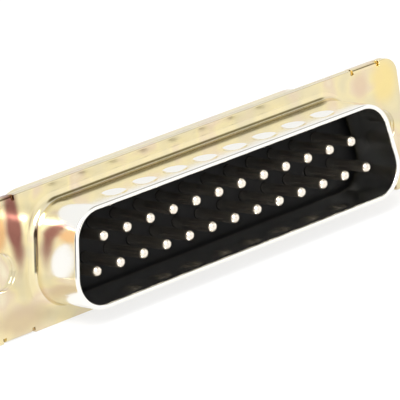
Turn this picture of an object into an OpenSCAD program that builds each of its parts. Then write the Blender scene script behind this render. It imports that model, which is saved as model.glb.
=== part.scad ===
// D-subminiature plug, 25 contacts, with solder cups.
//
// The pieces are drawn lying on their backs: x runs along the connector, y across it and z
// up out of the mating face. stand_up() then turns them so that the mating face looks to -Y
// and the narrow row of contacts is at the top. The origin is the centre of the flange's
// front face.

/* [Flange] */
// Distance from a mounting hole's centre to the flange's end
flange_end = 3; // [2.8:0.05:3.6]
// Height of the flange
flange_h = 12.55; // [12.35:0.05:13.5]
// Radius of the flange's four corners
flange_corner_r = 1.5; // [0.6:0.1:2.4]
// Thickness of the sheet that both shells are drawn from
sheet_t = 0.45; // [0.35:0.01:0.5]

/* [Mounting holes] */
// Distance from the opening's end to the nearest mounting hole's centre
hole_offset = 4.04; // [3.9:0.02:4.4]
// Diameter of the mounting holes
hole_d = 3.4; // [2.9:0.05:3.8]

/* [Nose] */
// Inside width of the D-shaped opening
opening_w = 38.96; // [38.6:0.02:39.4]
// Inside height of the D-shaped opening
opening_h = 8.36; // [8.2:0.02:8.5]
// Inside radius of the opening's corners
opening_corner_r = 2.6; // [2.2:0.05:3]
// Lean of the D's two short sides, in degrees
side_slope = 10; // [4:0.5:14]
// Height of the nose in front of the flange
nose_h = 5.84; // [5.5:0.02:6.3]
// Outside radius of the bend between the nose and the flange
nose_bend_r = 0.8; // [0.4:0.05:0.95]

/* [Dimples] */
// Number of dimples in each long wall of the nose
dimple_count = 8; // [2:1:8]
// Distance from one dimple to the next
dimple_pitch = 3.65; // [3.2:0.05:4]
// Width of a dimple's mouth
dimple_d = 2.2; // [1.4:0.1:2.6]
// Depth of a dimple
dimple_depth = 0.3; // [0.15:0.01:0.35]
// Height of the dimples' centres in front of the flange
dimple_h = 4; // [3:0.1:4.2]

/* [Crimp tabs] */
// Width of the tabs that hold the shells together
tab_w = 3; // [2:0.1:3.6]
// Length of a tab's fold behind the rear flange
tab_fold = 1.9; // [1.2:0.05:2.2]
// Distance from the flange's end to the nearest tab
tab_inset = 2.5; // [2.4:0.1:3.2]
// Width of the relief cut in the front flange on each side of a tab
tab_relief = 0.35; // [0.2:0.05:0.5]

/* [Rear housing] */
// Step outwards from the nose's opening to the housing's outside
housing_step = 1.07; // [0.9:0.01:1.2]
// Distance from the flange's front face to the housing's back
housing_back = 5.5; // [5.2:0.05:6.5]
// Inside radius of the housing's bends
housing_bend_r = 0.3; // [0.15:0.05:0.35]
// Width of the lip that holds the insulators in
lip_w = 0.9; // [0.7:0.05:1.1]

/* [Insulators] */
// Depth of the front insulator's face behind the flange's front face
floor_depth = 0.2; // [0:0.05:0.25]
// Length of rear insulator that stands out of the housing
insulator_tail = 0.9; // [0.4:0.05:1.5]
// Radius of the insulators' outer edges
insulator_edge_r = 0.25; // [0.1:0.05:0.3]
// Clearance between a piece and what it slides into
fit_gap = 0.04; // [0.02:0.01:0.06]

/* [Contacts] */
// Distance between contacts in a row
contact_pitch = 2.77; // [2.75:0.01:2.79]
// Distance between the two rows
row_spacing = 2.84; // [2.76:0.02:2.9]
// Diameter of a pin
pin_d = 1.02; // [0.9:0.01:1.1]
// Depth of the pin tips below the nose's rim
tip_depth = 0.8; // [0.5:0.05:1.2]
// Diameter of the collar that the insulators hold
collar_d = 2.15; // [2.05:0.01:2.3]
// Length of the collar
collar_h = 1.2; // [0.8:0.05:1.5]
// Depth of the collar's front behind the flange's front face
collar_depth = 2; // [1.8:0.05:2.4]
// Outside diameter of a solder cup
cup_d = 1.85; // [1.7:0.01:1.9]
// Diameter of a solder cup's bore
cup_bore_d = 1.15; // [0.9:0.05:1.3]
// Depth of a solder cup's bore
cup_bore_h = 3.2; // [2.6:0.1:3.6]
// Length of the opening in the side of a solder cup
cup_mouth_h = 2.1; // [1.4:0.1:2.4]
// Height of the solder cup's lips above its axis
cup_lip_h = 0.15; // [0:0.05:0.3]
// Length of solder cup that stands out of the rear insulator
cup_out = 4.4; // [3.8:0.1:5]

/* [Hidden] */
$fn = 64;
WIDE_ROW = 13;                      // contacts in the lower, longer row
CONTACTS = 2 * WIDE_ROW - 1;        // the upper row has one fewer
function two_digits(n) = str(n < 10 ? "0" : "", n);
function contact_name(n) = str("contact_", two_digits(n));

PLATING = "#d8c8a2";                // bright zinc with a thin yellow passivate
BLACK = "#1d1e20";                  // glass-filled thermoplastic
CONTACT_METAL = "#dcd6c8";          // tinned brass
OVERLAP = 0.2;                      // how far joined forms run into each other
PAST = 1;                           // how far cutters run past the faces they open
JOINING = 50;                       // swept stretches are joined at a 50th of their size,
                                    // where rounding can't keep their ends apart

hole_spacing = opening_w + 2 * hole_offset;
flange_w = hole_spacing + 2 * flange_end;

// The D's four corner centres, counter-clockwise from the lower right as the mating face is
// seen. Every D in the connector is drawn at some distance from these same centres.
corner_y = opening_h / 2 - opening_corner_r;
corner_x_wide = opening_w / 2 - opening_corner_r;
corner_x_narrow = corner_x_wide - 2 * corner_y * tan(side_slope);
side_run = 2 * corner_y / cos(side_slope);
D_CENTRES = [
    [corner_x_wide, -corner_y],
    [corner_x_narrow, corner_y],
    [-corner_x_narrow, corner_y],
    [-corner_x_wide, -corner_y]
];
// Direction in which the outline faces where each corner's arc starts, and once round again.
D_FACING = [-90, side_slope, 90, 180 - side_slope, 270];

// Distances of the walls from the D's corner centres
nose_in = opening_corner_r;
nose_out = nose_in + sheet_t;
nose_foot = nose_out + nose_bend_r;
housing_out = nose_in + housing_step;
housing_in = housing_out - sheet_t;
housing_foot = housing_out + housing_bend_r;
lip_in = housing_in - lip_w;
front_block_out = nose_in - fit_gap;
shoulder_out = housing_in - fit_gap;
tail_block_out = lip_in - fit_gap;

// Depths behind the flange's front face
rear_flange_back = 2 * sheet_t;
split_depth = collar_depth + collar_h / 2;
collar_back = collar_depth + collar_h;
tail_depth = housing_back + insulator_tail;
cup_end = tail_depth + cup_out;
// The front insulator's shoulder meets the inside of the nose's bend at this depth.
shoulder_depth = sqrt(pow(nose_bend_r + sheet_t, 2) - pow(nose_foot - shoulder_out, 2))
    - nose_bend_r + fit_gap;

dimple_r = (pow(dimple_d / 2, 2) + pow(dimple_depth, 2)) / (2 * dimple_depth);
tab_x = flange_w / 2 - tab_inset - tab_w / 2;
tip_h = nose_h - tip_depth;
bore_d = pin_d + 2 * fit_gap;
pocket_d = collar_d + 2 * fit_gap;
cup_hole_d = cup_d + 2 * fit_gap;

// ---- Shared forms ----

// Turns a piece from its back onto its feet: z, out of the mating face, becomes -Y.
module stand_up() {
    rotate([90, 0, 0]) children();
}

// A point on the D at distance r from corner centre i, in direction a.
function d_point(i, a, r) = D_CENTRES[i] + r * [cos(a), sin(a)];

// The D at distance r from its corner centres.
module d_outline(r) {
    for (centre = D_CENTRES) translate(centre) circle(r = r);
    polygon([for (i = [0 : 3], a = [D_FACING[i], D_FACING[i + 1]]) d_point(i, a, r)]);
}

// A block with the D's outline, from depth back to depth front behind the flange's face.
module d_block(r, front, back) {
    translate([0, 0, -back]) linear_extrude(back - front) d_outline(r);
}

// Frames along the right half of the D, clockwise. Each has a corner's centre at its origin,
// and the next stretch starts at its y = 0 plane and heads for -y.
module at_upper_corner() {
    translate([corner_x_narrow, corner_y, 0]) rotate([0, 0, 90]) children();
}
module at_side() {
    at_upper_corner() rotate([0, 0, side_slope - 90]) children();
}
module at_lower_corner() {
    at_side() translate([0, -side_run, 0]) children();
}
module at_bottom() {
    at_lower_corner() rotate([0, 0, -90 - side_slope]) children();
}

// A section carried straight on from the y = 0 plane, and round a corner of the D.
module straight(length) {
    rotate([90, 0, 0]) linear_extrude(length) children();
}
module corner(sweep) {
    rotate([0, 0, -sweep]) rotate_extrude(angle = sweep) children();
}

// Carries a section round the D. The section's x is its distance from the corner centres and
// its y is the height in front of the flange. The left half mirrors the right one.
module around_d() {
    small = 1 / JOINING;
    top_run = corner_x_narrow + OVERLAP;
    for (left = [0, 1]) mirror([left, 0, 0]) intersection() {
        scale(JOINING) {
            scale(small) at_upper_corner() translate([0, top_run, 0]) straight(top_run) children();
            scale(small) at_upper_corner() corner(90 - side_slope) children();
            scale(small) at_side() straight(side_run) children();
            scale(small) at_lower_corner() corner(90 + side_slope) children();
            scale(small) at_bottom() straight(corner_x_wide + OVERLAP) children();
        }
        translate([0, -flange_w, -flange_w]) cube(2 * flange_w);
    }
}

// Quarter ring of sheet: a bend about the section's point [x, y], with inside radius r, in
// the quadrant that direction points to.
module bend_section(x, y, r, direction) {
    reach = r + sheet_t;
    translate([x, y]) intersection() {
        difference() {
            circle(r = reach);
            circle(r = r);
        }
        mirror([direction[0] < 0 ? 1 : 0, 0]) mirror([0, direction[1] < 0 ? 1 : 0]) square(reach);
    }
}

// A block with the D's outline whose back edge is rounded with radius edge_r: a ring of that
// section, and a plain block that ends halfway across the flat part of the ring's back.
module rounded_d_block(r, front, back, edge_r) {
    rim = 2 * edge_r;
    d_block(r - (rim + edge_r) / 2, front, back);
    around_d() {
        translate([r - rim, -back]) square([edge_r, edge_r]);
        translate([r - rim, edge_r - back]) square([rim, back - front - edge_r]);
        translate([r - edge_r, edge_r - back]) circle(r = edge_r);
    }
}

// Places its children at both ends of the flange.
module at_both_ends(x) {
    for (end = [-1, 1]) translate([end * x, 0]) children();
}

module mounting_holes() {
    at_both_ends(hole_spacing / 2) circle(d = hole_d);
}

// Slots in a flange's long edges where the crimp tabs are, with gaps beside and behind them.
module tab_slots(side_gap, back_gap) {
    slot = [tab_w + 2 * side_gap, 2 * (sheet_t + back_gap)];
    for (edge = [-1, 1])
        at_both_ends(tab_x) translate([0, edge * flange_h / 2]) square(slot, center = true);
}

module rounded_plate() {
    inner = [flange_w - 2 * flange_corner_r, flange_h - 2 * flange_corner_r];
    for (x = [-1, 1], y = [-1, 1])
        translate([x * inner[0] / 2, y * inner[1] / 2]) circle(r = flange_corner_r);
    square([flange_w, inner[1]], center = true);
    square([inner[0], flange_h], center = true);
}

// Trims a shell's sheet, which is swept out past the flange's edges, to the flange's outline.
module trimmed(side_gap, back_gap) {
    intersection() {
        children();
        translate([0, 0, -flange_w / 2]) linear_extrude(flange_w) difference() {
            rounded_plate();
            mounting_holes();
            tab_slots(side_gap, back_gap);
        }
    }
}

// ---- Front shell ----

// Section of the drawn nose: the flat sheet, the bend, the wall and its rounded rim.
module nose_section() {
    wall_top = nose_h - sheet_t / 2;
    translate([nose_foot, -sheet_t]) square([flange_w / 2, sheet_t]);
    bend_section(nose_foot, nose_bend_r, nose_bend_r, [-1, -1]);
    translate([nose_in, nose_bend_r]) square([sheet_t, wall_top - nose_bend_r]);
    translate([nose_in + sheet_t / 2, wall_top]) circle(d = sheet_t);
}

// Balls of radius r that press the dimples into both long walls.
module dimple_balls(r) {
    centre_y = corner_y + nose_out + dimple_r - dimple_depth;
    for (wall = [-1, 1], i = [0 : dimple_count - 1])
        translate([(i - (dimple_count - 1) / 2) * dimple_pitch, wall * centre_y, dimple_h]) sphere(r = r);
}

// The dimples' backs, which stand up on the inside of the walls.
module dimple_backs() {
    size = [2 * corner_x_narrow, 2 * (corner_y + nose_in + sheet_t / 2), nose_h];
    intersection() {
        dimple_balls(dimple_r + sheet_t);
        translate([0, 0, size[2] / 2]) cube(size, center = true);
    }
}

// Section of a crimp tab across the flange's edge, folded round the rear shell's flange.
module tab_section() {
    difference() {
        union() {
            for (y = [1, 2]) translate([-sheet_t, -y * sheet_t]) circle(r = sheet_t);
            translate([-sheet_t, -2 * sheet_t]) square(sheet_t);
            translate([-tab_fold, -3 * sheet_t]) square([tab_fold - sheet_t, 3 * sheet_t]);
        }
        translate([-tab_fold - PAST, -2 * sheet_t]) square([tab_fold + PAST - sheet_t, sheet_t]);
    }
}

module crimp_tabs() {
    for (edge = [0, 1]) mirror([0, edge, 0])
        for (end = [-1, 1])
            translate([end * tab_x - tab_w / 2, flange_h / 2, 0])
                rotate([90, 0, 90]) linear_extrude(tab_w) tab_section();
}

module front_shell() {
    color(PLATING) stand_up() difference() {
        union() {
            trimmed(tab_relief, 0) around_d() nose_section();
            dimple_backs();
            crimp_tabs();
        }
        dimple_balls(dimple_r);
    }
}

// ---- Rear shell ----

// Section of the housing: the flat sheet, the bend, the wall and the lip at the back.
module housing_section() {
    wall_top = -rear_flange_back - housing_bend_r;
    wall_foot = -housing_back + sheet_t + housing_bend_r;
    bend_x = housing_in - housing_bend_r;
    translate([housing_foot, -rear_flange_back]) square([flange_w / 2, sheet_t]);
    bend_section(housing_foot, wall_top, housing_bend_r, [-1, 1]);
    translate([housing_in, wall_foot]) square([sheet_t, wall_top - wall_foot]);
    bend_section(bend_x, wall_foot, housing_bend_r, [1, -1]);
    translate([lip_in, -housing_back]) square([bend_x - lip_in, sheet_t]);
}

module rear_shell() {
    color(PLATING) stand_up() trimmed(fit_gap, fit_gap) around_d() housing_section();
}

// ---- Insulators ----

// Places its children at every contact.
module at_contacts() {
    for (n = [1 : CONTACTS]) translate(contact_place(n)) children();
}

// Holes of diameter d at every contact, between two depths.
module contact_holes(d, front, back) {
    translate([0, 0, -back]) linear_extrude(back - front) at_contacts() circle(d = d);
}

module front_insulator() {
    color(BLACK) stand_up() difference() {
        union() {
            d_block(front_block_out, floor_depth, shoulder_depth + OVERLAP);
            d_block(shoulder_out, shoulder_depth, split_depth);
        }
        contact_holes(bore_d, floor_depth - PAST, collar_depth + OVERLAP);
        contact_holes(pocket_d, collar_depth, split_depth + PAST);
    }
}

module rear_insulator() {
    shoulder_back = housing_back - sheet_t;
    color(BLACK) stand_up() difference() {
        union() {
            rounded_d_block(shoulder_out, split_depth, shoulder_back, housing_bend_r);
            rounded_d_block(tail_block_out, shoulder_back - OVERLAP, tail_depth, insulator_edge_r);
        }
        contact_holes(pocket_d, split_depth - PAST, collar_back);
        contact_holes(cup_hole_d, collar_back - OVERLAP, tail_depth + PAST);
    }
}

// ---- Contacts ----

// Where contact n stands. Numbers run from the right as the mating face is seen, first
// along the lower row.
function contact_place(n) = n <= WIDE_ROW
    ? [((WIDE_ROW + 1) / 2 - n) * contact_pitch, -row_spacing / 2]
    : [((WIDE_ROW + CONTACTS + 1) / 2 - n) * contact_pitch, row_spacing / 2];

// Half of the cup's wall, cut away with a round run-out so that a wire can be laid in.
module cup_mouth() {
    round_r = cup_d / 2;
    translate([0, cup_lip_h + round_r, -cup_end + cup_mouth_h - round_r])
        rotate([0, 90, 0]) cylinder(r = round_r, h = 2 * cup_d, center = true);
    translate([-cup_d, cup_lip_h, -cup_end - PAST])
        cube([2 * cup_d, cup_d, cup_mouth_h - round_r + PAST]);
}

// Turned contact on the origin's axis, with its cup open towards +y.
module turned_contact() {
    difference() {
        union() {
            translate([0, 0, tip_h - pin_d / 2]) sphere(d = pin_d);
            translate([0, 0, -collar_back]) cylinder(d = pin_d, h = collar_back + tip_h - pin_d / 2);
            translate([0, 0, -collar_back]) cylinder(d = collar_d, h = collar_h);
            translate([0, 0, -cup_end]) cylinder(d = cup_d, h = cup_end - collar_back + OVERLAP);
        }
        translate([0, 0, -cup_end - PAST]) cylinder(d = cup_bore_d, h = cup_bore_h + PAST);
        cup_mouth();
    }
}

// Contact n, with its cup open away from the other row.
module contact(n) {
    color(CONTACT_METAL) stand_up()
        translate(contact_place(n)) mirror([0, n <= WIDE_ROW ? 1 : 0, 0]) turned_contact();
}

front_shell();
rear_shell();
front_insulator();
rear_insulator();
for (n = [1 : CONTACTS])
    contact(n);
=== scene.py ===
"""Looks of a 25-way D-sub plug: its drawn and passivated shells, black insulators and turned contacts.

Shapes are worked out in millimetres in the plug's own plane, as (x, u, h): x along the plug, u up across it
and h out of the mating face, with the flange's front face at h = 0. to_row() turns them into the frame.
"""
import math

import bmesh
import bpy
import numpy as np
from mathutils import Matrix, Vector
from mathutils.geometry import delaunay_2d_cdt


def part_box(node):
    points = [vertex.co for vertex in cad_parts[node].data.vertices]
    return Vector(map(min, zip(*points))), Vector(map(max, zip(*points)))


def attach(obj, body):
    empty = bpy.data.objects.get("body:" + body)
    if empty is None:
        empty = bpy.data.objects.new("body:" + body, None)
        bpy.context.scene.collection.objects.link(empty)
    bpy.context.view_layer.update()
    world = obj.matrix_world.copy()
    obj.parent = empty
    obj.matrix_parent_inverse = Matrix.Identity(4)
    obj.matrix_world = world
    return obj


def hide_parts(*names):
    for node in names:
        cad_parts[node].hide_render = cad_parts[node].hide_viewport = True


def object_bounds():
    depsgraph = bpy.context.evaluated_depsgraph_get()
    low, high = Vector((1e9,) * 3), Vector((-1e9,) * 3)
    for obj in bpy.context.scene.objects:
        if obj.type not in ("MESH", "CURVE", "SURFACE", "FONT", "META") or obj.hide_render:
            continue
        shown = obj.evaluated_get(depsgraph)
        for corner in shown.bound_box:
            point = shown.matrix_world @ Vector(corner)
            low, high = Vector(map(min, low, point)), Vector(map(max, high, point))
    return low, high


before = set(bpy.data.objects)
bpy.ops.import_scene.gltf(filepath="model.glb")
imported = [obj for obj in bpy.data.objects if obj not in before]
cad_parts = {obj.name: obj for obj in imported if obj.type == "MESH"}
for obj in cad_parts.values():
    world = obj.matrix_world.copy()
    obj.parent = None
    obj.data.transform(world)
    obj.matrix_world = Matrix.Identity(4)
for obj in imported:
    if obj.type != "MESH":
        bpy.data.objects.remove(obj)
cad_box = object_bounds()

MM = 0.001
SAME_POINT = 1e-4               # mm within which two points are one
SHARP_OVER = 34                 # degrees at an edge above which it isn't shaded smooth
D_STEP = 0.15                   # mm between stations on the D's straight sides
CORNER_STEPS = 24               # steps round each of the D's corners
HOLE_STEPS = 72                 # sides of a mounting hole


def box_mm(node):
    """A CAD node's lowest and highest corners, in millimetres."""
    low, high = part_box(node)
    return np.array(low) / MM, np.array(high) / MM


# ---- Sizes, in millimetres ----

front_low, front_high = box_mm("front_shell")
rear_low, rear_high = box_mm("rear_shell")

FLANGE_W = 2 * front_high[0]
FLANGE_H = 2 * front_high[2]
FLANGE_CORNER_R = 1.5
SHEET = rear_low[1]             # the rear flange starts where the front one ends
HOLE_SPACING = 47.04
HOLE_D = 3.4

OPENING_W, OPENING_H, OPENING_R = 38.96, 8.36, 2.6
SIDE_SLOPE = math.radians(10)
NOSE_H = -front_low[1]
NOSE_BEND_R = 0.8

DIMPLES, DIMPLE_PITCH = 8, 3.65
DIMPLE_D, DIMPLE_DEPTH = 2.2, 0.3
DIMPLE_H = 4.0                  # their height over the flange
DIMPLE_BAND = 1.2 * DIMPLE_D    # height of the wall that is finely divided for them
DIMPLE_SOFT = 0.02              # rounding of their rims
LONG_WALL = 0.999               # a wall that faces up or down by more than this is a long one

TAB_W, TAB_FOLD, TAB_INSET = 3.0, 1.9, 2.5
TAB_RELIEF = 0.35               # width of the cut at each side of a tab
TAB_X = FLANGE_W / 2 - TAB_INSET - TAB_W / 2
TAB_ROOT = 0.5                  # how far a tab starts inside the flange
TAB_SUNK = 0.004                # and how far under its face
FIT_GAP = 0.04                  # between the tabs and the rear flange's slots

HOUSING_STEP = 1.07             # from the nose's inside to the housing's outside
HOUSING_BACK = rear_high[1]
HOUSING_BEND_R = 0.3
LIP_W = 0.9                     # how far the lip holds in the rear insulator

EDGE_R = 0.07                   # rounding that punching leaves on the sheet's front edges
BURR_R = 0.03                   # and on its back edges
FLAT_RING = 0.05                # flat sheet kept round each rounded edge

# Distances from the D's corner centres
CORNER_U = OPENING_H / 2 - OPENING_R
CORNER_X_WIDE = OPENING_W / 2 - OPENING_R
CORNER_X_NARROW = CORNER_X_WIDE - 2 * CORNER_U * math.tan(SIDE_SLOPE)
NOSE_IN = OPENING_R
NOSE_OUT = NOSE_IN + SHEET
NOSE_FOOT = NOSE_OUT + NOSE_BEND_R
HOUSING_OUT = NOSE_IN + HOUSING_STEP
HOUSING_IN = HOUSING_OUT - SHEET
HOUSING_FOOT = HOUSING_OUT + HOUSING_BEND_R
LIP_IN = HOUSING_IN - LIP_W


# ---- Curves ----

def arc(centre, radius, start, end, steps):
    """Points on a circle about centre, from angle start to end in degrees, in equal steps."""
    a = np.radians(np.linspace(start, end, steps + 1))
    return np.column_stack([centre[0] + radius * np.cos(a), centre[1] + radius * np.sin(a)])


def line(start, end, steps):
    """Points from start to end in equal steps."""
    t = np.linspace(0, 1, steps + 1)[:, None]
    return (1 - t) * np.array(start, float) + t * np.array(end, float)


def joined(*stretches):
    """Stretches of points in a row, with each point that repeats the last one left out."""
    points = np.vstack(stretches)
    steps = np.linalg.norm(np.diff(points, axis=0), axis=1)
    return points[np.concatenate([[True], steps > SAME_POINT])]


def d_stations():
    """Stations round the D, counter-clockwise as the mating face is seen.

    At a corner the centre stays and the outward direction turns from one side's to the next one's. Along a
    side the direction stays and the centre slides to the next corner. A wall at distance r from the corner
    centres then stands at centre + r * direction.
    """
    centres = np.array([[CORNER_X_WIDE, -CORNER_U], [CORNER_X_NARROW, CORNER_U],
                        [-CORNER_X_NARROW, CORNER_U], [-CORNER_X_WIDE, -CORNER_U]])
    slope = math.degrees(SIDE_SLOPE)
    facing = [-90, slope, 90, 180 - slope, 270]
    spots, ways = [], []
    for i, centre in enumerate(centres):
        turn = np.radians(np.linspace(facing[i], facing[i + 1], CORNER_STEPS + 1))
        spots.append(np.repeat(centre[None], len(turn), axis=0))
        ways.append(np.column_stack([np.cos(turn), np.sin(turn)]))
        following = centres[(i + 1) % 4]
        steps = max(2, round(np.linalg.norm(following - centre) / D_STEP))
        run = line(centre, following, steps)[1:-1]
        spots.append(run)
        ways.append(np.repeat(ways[-1][-1:], len(run), axis=0))
    return np.vstack(spots), np.vstack(ways)


def circle_outline(centre, diameter):
    """A round hole's outline, clockwise, so that its outward side is the hole."""
    return arc(centre, diameter / 2, 360, 0, HOLE_STEPS)[:-1]


def flange_outline(slot_gap, slot_depth):
    """The flange's outline, counter-clockwise: a rounded rectangle with four slots in its long edges.

    A quarter of it, from the middle of the right end to the middle of the top, is mirrored twice.
    """
    half_w, half_h, r = FLANGE_W / 2, FLANGE_H / 2, FLANGE_CORNER_R
    slot_right = TAB_X + TAB_W / 2 + slot_gap
    slot_left = TAB_X - TAB_W / 2 - slot_gap
    slot_end = half_h - slot_depth
    quarter = joined(
        line((half_w, 0), (half_w, half_h - r), 4),
        arc((half_w - r, half_h - r), r, 0, 90, 20),
        [(slot_right, half_h), (slot_right, slot_end), (slot_left, slot_end), (slot_left, half_h)],
        line((slot_left, half_h), (0, half_h), 12))
    upper = np.vstack([quarter, (quarter * [-1, 1])[::-1]])
    return joined(upper, (upper * [1, -1])[::-1])[:-1]


def outward(outline):
    """Each corner's mitre: the sum of its sides' outward normals, long enough to offset both sides by 1."""
    ahead = np.roll(outline, -1, axis=0) - outline
    ahead /= np.linalg.norm(ahead, axis=1)[:, None]
    normal = np.column_stack([ahead[:, 1], -ahead[:, 0]])
    before = np.roll(normal, 1, axis=0)
    return (normal + before) / (1 + np.sum(normal * before, axis=1))[:, None]


# ---- Surfaces: each is (points, faces), with points as (x, u, h) ----

def ring_of_rows(points):
    """Quads over a rows x columns x 3 array of points, whose last row joins its first."""
    rows, columns = points.shape[:2]
    index = np.arange(rows * columns).reshape(rows, columns)
    index = np.vstack([index, index[:1]])
    quads = np.stack([index[:-1, :-1], index[1:, :-1], index[1:, 1:], index[:-1, 1:]], axis=-1)
    return points.reshape(-1, 3), quads.reshape(-1, 4).tolist()


def swept_round_d(section, displace=None):
    """A section of (r, h) points carried round the D: point = centre + r * direction, at height h.

    displace(x, facing_u, section) gives how far each point then moves back along its direction.
    """
    spots, ways = d_stations()
    flat = spots[:, None] + section[None, :, :1] * ways[:, None]
    height = np.broadcast_to(section[None, :, 1], flat.shape[:2])
    if displace is not None:
        flat = flat - ways[:, None] * displace(flat[..., 0], ways[:, 1], section)[..., None]
    return ring_of_rows(np.dstack([flat, height]))


def edge_band(outline, section):
    """A section of (inset, h) points carried round an outline: outline - inset * mitre, at height h."""
    flat = outline[:, None] - section[None, :, :1] * outward(outline)[:, None]
    height = np.broadcast_to(section[None, :, 1], flat.shape[:2])
    return ring_of_rows(np.dstack([flat, height]))


def enclosed(points, contour):
    """Which points lie inside a contour: a line to the right of them crosses it an odd number of times."""
    ahead = np.roll(contour, -1, axis=0)
    x, u = points[:, :1], points[:, 1:]
    straddles = (contour[:, 1] > u) != (ahead[:, 1] > u)
    rise = np.where(ahead[:, 1] == contour[:, 1], 1, ahead[:, 1] - contour[:, 1])
    crossing = contour[:, 0] + (u - contour[:, 1]) / rise * (ahead[:, 0] - contour[:, 0])
    return np.sum(straddles & (crossing > x), axis=1) % 2 == 1


def flat_face(outline, cuts, height):
    """A flat face at one height: triangles between the outline's and cuts' points, less those in a cut."""
    contours = [outline] + cuts
    edges, start = [], 0
    for contour in contours:
        index = start + np.arange(len(contour))
        edges += np.column_stack([index, np.roll(index, -1)]).tolist()
        start += len(contour)
    inside_only = 1
    corners = [Vector(p) for p in np.vstack(contours)]
    found, _, faces, *_ = delaunay_2d_cdt(corners, edges, [], inside_only, SAME_POINT / 100)
    found, faces = np.array([tuple(p) for p in found]), np.array(faces)
    middles = found[faces].mean(axis=1)
    kept = ~np.any([enclosed(middles, cut) for cut in cuts], axis=0)
    return np.column_stack([found, np.full(len(found), height)]), faces[kept].tolist()


def sheet_edge(front, back):
    """Section of a punched edge, from front face to back face: rounded in front, nearly sharp behind."""
    return joined(
        [(EDGE_R + FLAT_RING, front), (EDGE_R, front)],
        arc((EDGE_R, front - EDGE_R), EDGE_R, 90, 180, 6),
        arc((BURR_R, back + BURR_R), BURR_R, 180, 270, 3),
        [(BURR_R + FLAT_RING, back)])


def sheet_flange(front, back, slot_gap, slot_depth, d_r):
    """A flange as surfaces: its front and back faces with the D and two holes cut out, and its punched edges.

    The faces end on the D at distance d_r from its corner centres, where the drawn wall's bend takes over.
    """
    outlines = [flange_outline(slot_gap, slot_depth)]
    outlines += [circle_outline((end * HOLE_SPACING / 2, 0), HOLE_D) for end in (-1, 1)]
    edge = sheet_edge(front, back)
    surfaces = [edge_band(outline, edge) for outline in outlines]
    spots, ways = d_stations()
    for inset, height in ((edge[0, 0], front), (edge[-1, 0], back)):
        rim, *holes = [outline - inset * outward(outline) for outline in outlines]
        surfaces.append(flat_face(rim, holes + [spots + d_r * ways], height))
    return surfaces


def to_row(points):
    """From (x, u, h) in millimetres to the frame's X, Y, Z in metres."""
    return np.column_stack([points[:, 0], -points[:, 2], points[:, 1]]) * MM


def piece(name, surfaces, material, node):
    """One smooth-shaded object from surfaces that meet at shared points, standing for a CAD node."""
    points, faces, start = [], [], 0
    for spots, polygons in surfaces:
        points.append(to_row(spots))
        faces += [[start + i for i in polygon] for polygon in polygons]
        start += len(spots)
    mesh = bpy.data.meshes.new(name)
    mesh.from_pydata(np.vstack(points).tolist(), [], faces)
    work = bmesh.new()
    work.from_mesh(mesh)
    bmesh.ops.remove_doubles(work, verts=work.verts, dist=SAME_POINT * MM)
    bmesh.ops.recalc_face_normals(work, faces=work.faces)
    work.to_mesh(mesh)
    work.free()
    mesh.shade_smooth()
    mesh.set_sharp_from_angle(angle=math.radians(SHARP_OVER))
    mesh.materials.append(material)
    made = bpy.data.objects.new(name, mesh)
    bpy.context.scene.collection.objects.link(made)
    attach(made, "root")
    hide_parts(node)


# ---- Materials ----

def linear(hex_colour):
    """A hex sRGB colour as linear RGBA."""
    parts = [int(hex_colour[i:i + 2], 16) / 255 for i in (1, 3, 5)]
    return [c / 12.92 if c <= 0.04045 else ((c + 0.055) / 1.055) ** 2.4 for c in parts] + [1]


def add(tree, kind, settings=None, **inputs):
    """Adds a node. settings are its properties. Each input is a value, or a socket that is linked to it."""
    node = tree.nodes.new(kind)
    for key, value in (settings or {}).items():
        setattr(node, key, value)
    for key, value in inputs.items():
        socket = node.inputs[int(key[1:])] if key[0] == "_" else node.inputs[key.replace("_", " ")]
        if isinstance(value, bpy.types.NodeSocket):
            tree.links.new(value, socket)
        else:
            socket.default_value = value
    return node


def new_material(name):
    """An empty material and its node tree."""
    material = bpy.data.materials.new(name)
    material.use_nodes = True
    material.node_tree.nodes.clear()
    return material, material.node_tree


def per_mm(size):
    """A noise or wave scale, in cycles a metre, for a feature of that size in millimetres."""
    return 1 / (size * MM)


FILM_STARTS, FILM_FULL = 1.4, 0.1       # mm in front of the flange where the film starts and is full
PATCH_FULL, PATCH_GONE = 0.9, 1.6       # distance in half sizes, plus the clouds' ragged 0 to 1

# Painted reflections on the flange, patches of the warm, rose and dark tints that it mirrors from round it:
# centre (x, z), half size, colour and strength
PAINTED_REFLECTION_PATCHES = (
    ((-23.6, 3.9), (1.7, 3.2), "#D8AE7C", 1.0),
    ((-21.2, 3.8), (1.05, 4.6), "#8A5C52", 1.0),
    ((-22.0, -4.6), (4.0, 1.6), "#CDB897", 0.8),
    ((24.6, 4.4), (2.0, 2.6), "#EFD892", 0.8),
    ((21.6, 4.6), (1.3, 1.6), "#DCC3A8", 0.8),
    ((25.4, -3.0), (1.2, 2.2), "#E0CAA8", 0.6),
)


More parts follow.
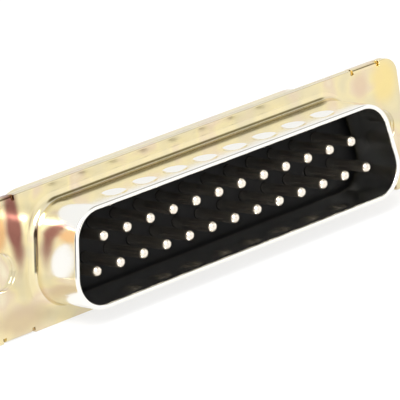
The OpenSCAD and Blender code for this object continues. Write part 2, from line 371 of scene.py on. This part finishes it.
def passivated_zinc():
    """Drawn steel with bright zinc and a thin yellow passivate, whose film thickness tints it.

    The eye gets a bright, slightly wavy mirror. The film is thickest on the flat flange, where it is a pale
    straw, and thin on the drawn nose, which stays nearly white. Rose, gold and dark clouds on the flange are
    painted reflections of the things round the plug, mixed into its colour.
    """
    material, tree = new_material("passivated_zinc_and_painted_reflections")
    place = add(tree, "ShaderNodeTexCoord").outputs["Object"]
    out = add(tree, "ShaderNodeSeparateXYZ", Vector=place).outputs["Y"]
    flange = add(tree, "ShaderNodeMapRange", {"interpolation_type": "SMOOTHSTEP"}, Value=out,
                 From_Min=-FILM_STARTS * MM, From_Max=-FILM_FULL * MM, To_Min=0.0, To_Max=1.0)
    clouds = add(tree, "ShaderNodeTexNoise", Vector=place, Scale=per_mm(5), Detail=2.0, Roughness=0.6)
    film = add(tree, "ShaderNodeValToRGB", Fac=clouds.outputs["Fac"])
    stops = ((0.30, "#DFCDB4"), (0.42, "#DED2AE"), (0.52, "#E8DAAE"), (0.60, "#E2CFB2"), (0.70, "#EBE2C4"))
    ramp = film.color_ramp.elements
    ramp[0].position, ramp[1].position = stops[0][0], stops[-1][0]
    for position, _ in stops[1:-1]:
        ramp.new(position)
    for stop, (_, hue) in zip(ramp, stops):
        stop.color = linear(hue)
    colour = film.outputs["Color"]
    # Painted reflections: each patch mixes a warm, rose or dark mirrored tint into the flange's colour
    for (x, z), (half_w, half_h), hue, most in PAINTED_REFLECTION_PATCHES:
        spot = add(tree, "ShaderNodeVectorMath", {"operation": "SUBTRACT"}, _0=place, _1=(x * MM, 0, z * MM))
        spread = add(tree, "ShaderNodeVectorMath", {"operation": "MULTIPLY"}, _0=spot.outputs["Vector"],
                     _1=(1 / (half_w * MM), 0, 1 / (half_h * MM)))
        away = add(tree, "ShaderNodeVectorMath", {"operation": "LENGTH"}, _0=spread.outputs["Vector"])
        ragged = add(tree, "ShaderNodeMath", {"operation": "ADD"}, _0=away.outputs["Value"],
                     _1=clouds.outputs["Fac"])
        share = add(tree, "ShaderNodeMapRange", {"interpolation_type": "SMOOTHSTEP"}, Value=ragged.outputs[0],
                    From_Min=PATCH_FULL, From_Max=PATCH_GONE, To_Min=most, To_Max=0.0)
        colour = add(tree, "ShaderNodeMixRGB", Fac=share.outputs["Result"], Color1=colour,
                     Color2=linear(hue)).outputs["Color"]
    white = add(tree, "ShaderNodeMixRGB", Fac=clouds.outputs["Fac"], Color1=linear("#F8F5EC"),
                Color2=linear("#F4F4F2"))
    tint = add(tree, "ShaderNodeMixRGB", Fac=flange.outputs["Result"], Color1=white.outputs["Color"],
               Color2=colour)
    grain = add(tree, "ShaderNodeTexNoise", Vector=place, Scale=per_mm(0.35), Detail=3.0)
    rough = add(tree, "ShaderNodeMapRange", Value=grain.outputs["Fac"], To_Min=0.11, To_Max=0.18)
    ripple = add(tree, "ShaderNodeTexNoise", Vector=place, Scale=per_mm(2.5), Detail=1.0)
    bump = add(tree, "ShaderNodeBump", Height=ripple.outputs["Fac"], Strength=0.4, Distance=0.03 * MM)
    shader = add(tree, "ShaderNodeBsdfPrincipled", Base_Color=tint.outputs["Color"], Metallic=1.0,
                 Roughness=rough.outputs["Result"], Normal=bump.outputs["Normal"])
    add(tree, "ShaderNodeOutputMaterial", Surface=shader.outputs["BSDF"])
    return material


def black_polyester():
    """Glass-filled PBT moulding. The eye gets a deep black with a faint grain and hardly any sheen."""
    material, tree = new_material("moulded_black_PBT")
    place = add(tree, "ShaderNodeTexCoord").outputs["Object"]
    grain = add(tree, "ShaderNodeTexNoise", Vector=place, Scale=per_mm(0.25), Detail=3.0)
    shade = add(tree, "ShaderNodeMixRGB", Fac=grain.outputs["Fac"], Color1=linear("#0B0C0E"),
                Color2=linear("#121316"))
    rough = add(tree, "ShaderNodeMapRange", Value=grain.outputs["Fac"], To_Min=0.45, To_Max=0.6)
    bump = add(tree, "ShaderNodeBump", Height=grain.outputs["Fac"], Strength=0.3, Distance=0.01 * MM)
    shader = add(tree, "ShaderNodeBsdfPrincipled", Base_Color=shade.outputs["Color"],
                 Roughness=rough.outputs["Result"], IOR=1.57, Specular_IOR_Level=0.1,
                 Normal=bump.outputs["Normal"])
    add(tree, "ShaderNodeOutputMaterial", Surface=shader.outputs["BSDF"])
    return material


def plated_brass():
    """Turned brass with a bright flash of plating. The eye gets pale, warm, faintly clouded glints."""
    material, tree = new_material("flash_plated_brass")
    place = add(tree, "ShaderNodeTexCoord").outputs["Object"]
    clouds = add(tree, "ShaderNodeTexNoise", Vector=place, Scale=per_mm(1.5), Detail=2.0)
    tint = add(tree, "ShaderNodeMixRGB", Fac=clouds.outputs["Fac"], Color1=linear("#F1E4D6"),
               Color2=linear("#F3EEE2"))
    rough = add(tree, "ShaderNodeMapRange", Value=clouds.outputs["Fac"], To_Min=0.16, To_Max=0.26)
    shader = add(tree, "ShaderNodeBsdfPrincipled", Base_Color=tint.outputs["Color"], Metallic=1.0,
                 Roughness=rough.outputs["Result"])
    add(tree, "ShaderNodeOutputMaterial", Surface=shader.outputs["BSDF"])
    return material


ZINC = passivated_zinc()
BLACK = black_polyester()
CONTACT_METAL = plated_brass()


# ---- Front shell ----

def nose_section():
    """Section of the drawn nose as (r, h): bend, outer wall, rounded rim, inner wall and inner bend."""
    wall_top = NOSE_H - SHEET / 2
    dimple_low, dimple_high = DIMPLE_H - DIMPLE_BAND / 2, DIMPLE_H + DIMPLE_BAND / 2
    bend = (NOSE_FOOT, NOSE_BEND_R)
    wall = joined(line((0, NOSE_BEND_R), (0, dimple_low), 4), line((0, dimple_low), (0, dimple_high), 26),
                  line((0, dimple_high), (0, wall_top), 3))
    return joined(
        [(NOSE_FOOT + FLAT_RING, 0)],
        arc(bend, NOSE_BEND_R, 270, 180, 12),
        wall + [NOSE_OUT, 0],
        arc((NOSE_IN + SHEET / 2, wall_top), SHEET / 2, 0, 180, 16),
        (wall + [NOSE_IN, 0])[::-1],
        arc(bend, NOSE_BEND_R + SHEET, 180, 270, 12),
        [(NOSE_FOOT + FLAT_RING, -SHEET)])


def dimple_push(x, facing_u, section):
    """How far the long walls are pushed in at (x, h): caps of balls in a row, one sheet thicker inside.

    A ball of radius R sunk to depth d reaches f = sqrt(R^2 - s^2) - (R - d) below the wall at distance s from
    its axis. The inner wall stands out as a ball of radius R + sheet about the same point. The push is f
    where that is above 0, with the rim softened over a length e: (f + sqrt(f^2 + e^2)) / 2 - e / 16.
    """
    ball_r = ((DIMPLE_D / 2) ** 2 + DIMPLE_DEPTH ** 2) / (2 * DIMPLE_DEPTH)
    centre = (np.arange(DIMPLES) - (DIMPLES - 1) / 2) * DIMPLE_PITCH
    away_x = np.abs(x[..., None] - centre).min(axis=-1)
    away = away_x ** 2 + (section[None, :, 1] - DIMPLE_H) ** 2
    inner = section[:, 0] < NOSE_IN + SHEET / 2
    radius = ball_r + np.where(inner, SHEET, 0)[None]
    reach = np.sqrt(np.maximum(radius ** 2 - away, 0)) - (radius - DIMPLE_DEPTH)
    push = (reach + np.sqrt(reach ** 2 + DIMPLE_SOFT ** 2)) / 2 - DIMPLE_SOFT / 16
    on_wall = (section[:, 1] > NOSE_BEND_R) & (section[:, 1] < NOSE_H - SHEET / 2)
    return np.maximum(push, 0) * (np.abs(facing_u) > LONG_WALL)[:, None] * on_wall[None]


def tab_surfaces():
    """The four crimp tabs: a folded strip's section carried across each tab's width, with flat ends.

    The strip starts inside the flange, a hair under its face, and bends round both flanges' edges. Its
    section is (distance out from the flange's edge, h).
    """
    t, hair, root = SHEET, TAB_SUNK, TAB_ROOT
    section = joined(
        [(-t - root, -hair)], arc((-t, -t), t - hair, 90, 0, 10), arc((-t, -2 * t), t - hair, 0, -90, 10),
        line((-t, -3 * t + hair), (-TAB_FOLD + EDGE_R, -3 * t + hair), 2),
        arc((-TAB_FOLD + EDGE_R, -3 * t + hair + EDGE_R), EDGE_R, 270, 180, 4),
        arc((-TAB_FOLD + EDGE_R, -2 * t - hair - EDGE_R), EDGE_R, 180, 90, 4),
        line((-TAB_FOLD + EDGE_R, -2 * t - hair), (-t - BURR_R, -2 * t - hair), 2),
        arc((-t - BURR_R, -2 * t - hair + BURR_R), BURR_R, -90, 0, 3),
        line((-t, -2 * t), (-t, -t + hair), 2),
        [(-t - root, -t + hair)])
    surfaces = []
    for edge in (-1, 1):
        for end in (-1, 1):
            columns = [np.column_stack([np.full(len(section), end * TAB_X + side * TAB_W / 2),
                                        edge * (FLANGE_H / 2 + section[:, 0]), section[:, 1]])
                       for side in (-1, 1)]
            spots, quads = ring_of_rows(np.stack(columns, axis=1))
            ends = [list(range(k, 2 * len(section), 2)) for k in (0, 1)]
            surfaces.append((spots, quads + ends))
    return surfaces


def front_shell():
    """The nose, the front flange and the tabs as one drawn sheet."""
    surfaces = [swept_round_d(nose_section(), dimple_push)]
    surfaces += sheet_flange(0, -SHEET, TAB_RELIEF, SHEET, NOSE_FOOT + FLAT_RING)
    surfaces += tab_surfaces()
    piece("front_shell_drawn", surfaces, ZINC, "front_shell")


# ---- Rear shell ----

def housing_section():
    """Section of the rear housing as (r, h): bend, outer wall, back bend, lip, and the way back inside."""
    flange_back = -2 * SHEET
    wall_top = flange_back - HOUSING_BEND_R
    wall_foot = -HOUSING_BACK + SHEET + HOUSING_BEND_R
    foot, heel = (HOUSING_FOOT, wall_top), (HOUSING_IN - HOUSING_BEND_R, wall_foot)
    return joined(
        [(HOUSING_FOOT + FLAT_RING, flange_back)],
        arc(foot, HOUSING_BEND_R, 90, 180, 8),
        line((HOUSING_OUT, wall_top), (HOUSING_OUT, wall_foot), 3),
        arc(heel, HOUSING_BEND_R + SHEET, 0, -90, 10),
        arc((LIP_IN + BURR_R, -HOUSING_BACK + BURR_R), BURR_R, 270, 180, 3),
        arc((LIP_IN + BURR_R, -HOUSING_BACK + SHEET - BURR_R), BURR_R, 180, 90, 3),
        arc(heel, HOUSING_BEND_R, -90, 0, 8),
        line((HOUSING_IN, wall_foot), (HOUSING_IN, wall_top), 3),
        arc(foot, HOUSING_BEND_R + SHEET, 180, 90, 10),
        [(HOUSING_FOOT + FLAT_RING, -SHEET)])


def rear_shell():
    """The housing and the rear flange as one drawn sheet."""
    surfaces = [swept_round_d(housing_section())]
    surfaces += sheet_flange(-SHEET, -2 * SHEET, FIT_GAP, SHEET + FIT_GAP, HOUSING_FOOT + FLAT_RING)
    piece("rear_shell_drawn", surfaces, ZINC, "rear_shell")


# ---- Insulators and contacts ----

def dress(nodes, material):
    """Gives CAD nodes, whose own shapes are right, a material of their own."""
    for node in nodes:
        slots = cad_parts[node].data.materials
        slots.clear()
        slots.append(material)


front_shell()
rear_shell()
dress(["front_insulator", "rear_insulator"], BLACK)
dress(sorted(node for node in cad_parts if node.startswith("contact_")), CONTACT_METAL)


# ---- Floor, light and camera ----

FLOOR_HALF_W = 0.6              # metres
FLOOR_GAP = 0.05                # mm under the plug's lowest point
PLAIN_SHARE = 0.72              # of plain white in what the camera and mirror rays see of the floor


def floor():
    """A white sheet under the plug. The camera and mirror rays see it part lit and part plain white."""
    half = FLOOR_HALF_W
    level = cad_box[0][2] - FLOOR_GAP * MM
    mesh = bpy.data.meshes.new("floor")
    mesh.from_pydata([(-half, -half, level), (half, -half, level), (half, half, level), (-half, half, level)],
                     [], [(0, 1, 2, 3)])
    sheet = bpy.data.objects.new("floor", mesh)
    bpy.context.scene.collection.objects.link(sheet)
    material, tree = new_material("white_paper")
    path = add(tree, "ShaderNodeLightPath").outputs
    seen = add(tree, "ShaderNodeMath", {"operation": "MAXIMUM"}, _0=path["Is Camera Ray"],
               _1=path["Is Glossy Ray"])
    share = add(tree, "ShaderNodeMath", {"operation": "MULTIPLY"}, _0=seen.outputs[0], _1=PLAIN_SHARE)
    lit = add(tree, "ShaderNodeBsdfDiffuse", Color=linear("#F4F4F4"))
    plain = add(tree, "ShaderNodeEmission", Color=(1, 1, 1, 1), Strength=1.0)
    both = add(tree, "ShaderNodeMixShader", Fac=share.outputs[0], _1=lit.outputs[0], _2=plain.outputs[0])
    add(tree, "ShaderNodeOutputMaterial", Surface=both.outputs[0])
    mesh.materials.append(material)


# What stands round the plug: direction, half-angles in degrees inside which it is full and outside which
# it is gone, colour and brightness
SURROUNDINGS = (
    ((0.62, -0.70, 0.30), (20, 44), "#FFFFFF", 1.2),     # a window at the right
    ((-0.68, -0.73, 0.05), (18, 36), "#FFFFFF", 1.5),    # a soft box at the left
    ((0.55, -0.20, 0.95), (8, 24), "#77725A", 1.0),      # a dim beam overhead
    ((-1.0, 0.0, 0.0), (20, 33), "#3A2B20", 1.0),        # a dark door at the left
    ((0.16, -1.0, -0.05), (6, 15), "#8A625A", 1.0),      # whoever holds the camera
)


def room():
    """A white room with a few darker and brighter things in it. The camera sees plain white."""
    world = bpy.data.worlds.new("room")
    bpy.context.scene.world = world
    world.use_nodes = True
    tree = world.node_tree
    tree.nodes.clear()
    way = add(tree, "ShaderNodeTexCoord").outputs["Generated"]
    glow = add(tree, "ShaderNodeBackground", Color=(1, 1, 1, 1), Strength=1.0).outputs[0]
    for towards, (full, gone), hue, strength in SURROUNDINGS:
        near = add(tree, "ShaderNodeVectorMath", {"operation": "DOT_PRODUCT"}, _0=way,
                   _1=Vector(towards).normalized())
        share = add(tree, "ShaderNodeMapRange", {"interpolation_type": "SMOOTHSTEP"},
                    Value=near.outputs["Value"], From_Min=math.cos(math.radians(gone)),
                    From_Max=math.cos(math.radians(full)))
        thing = add(tree, "ShaderNodeBackground", Color=linear(hue), Strength=strength)
        glow = add(tree, "ShaderNodeMixShader", Fac=share.outputs["Result"], _1=glow,
                   _2=thing.outputs[0]).outputs[0]
    plain = add(tree, "ShaderNodeBackground", Color=(1, 1, 1, 1), Strength=1.0)
    path = add(tree, "ShaderNodeLightPath").outputs
    both = add(tree, "ShaderNodeMixShader", Fac=path["Is Camera Ray"], _1=glow, _2=plain.outputs[0])
    add(tree, "ShaderNodeOutputWorld", Surface=both.outputs[0])


def lamp(name, place, size, power):
    """A square soft box facing the plug: place and size in metres, power in watts."""
    light = bpy.data.lights.new(name, "AREA")
    light.size, light.energy = size, power
    box = bpy.data.objects.new(name, light)
    box.location = place
    box.rotation_euler = (-Vector(place)).to_track_quat("-Z", "Y").to_euler()
    bpy.context.scene.collection.objects.link(box)


def camera():
    """A long lens at the front left, a little above the plug, rolled so that the plug climbs to the right.

    The distance is in metres, and the lens and the sensor's width are in millimetres.
    """
    azimuth, elevation, roll = math.radians(40.26), math.radians(14.55), math.radians(8.84)
    distance, lens, sensor_w = 0.423, 422.3, 36
    aim = Vector((0.11, -0.16, -0.20)) * MM
    towards = Vector((math.sin(azimuth) * math.cos(elevation), math.cos(azimuth) * math.cos(elevation),
                      -math.sin(elevation)))
    lens_data = bpy.data.cameras.new("camera")
    lens_data.lens, lens_data.sensor_width, lens_data.sensor_fit = lens, sensor_w, "HORIZONTAL"
    lens_data.clip_start, lens_data.clip_end = 0.01, 10
    seer = bpy.data.objects.new("camera", lens_data)
    turn = towards.to_track_quat("-Z", "Y").to_matrix() @ Matrix.Rotation(-roll, 3, "Z")
    seer.matrix_world = Matrix.Translation(aim - towards * distance) @ turn.to_4x4()
    bpy.context.scene.collection.objects.link(seer)
    bpy.context.scene.camera = seer


floor()
room()
lamp("key", place=(-0.35, -0.35, 0.45), size=0.3, power=5)
camera()
bpy.context.scene.view_settings.view_transform = "Standard"
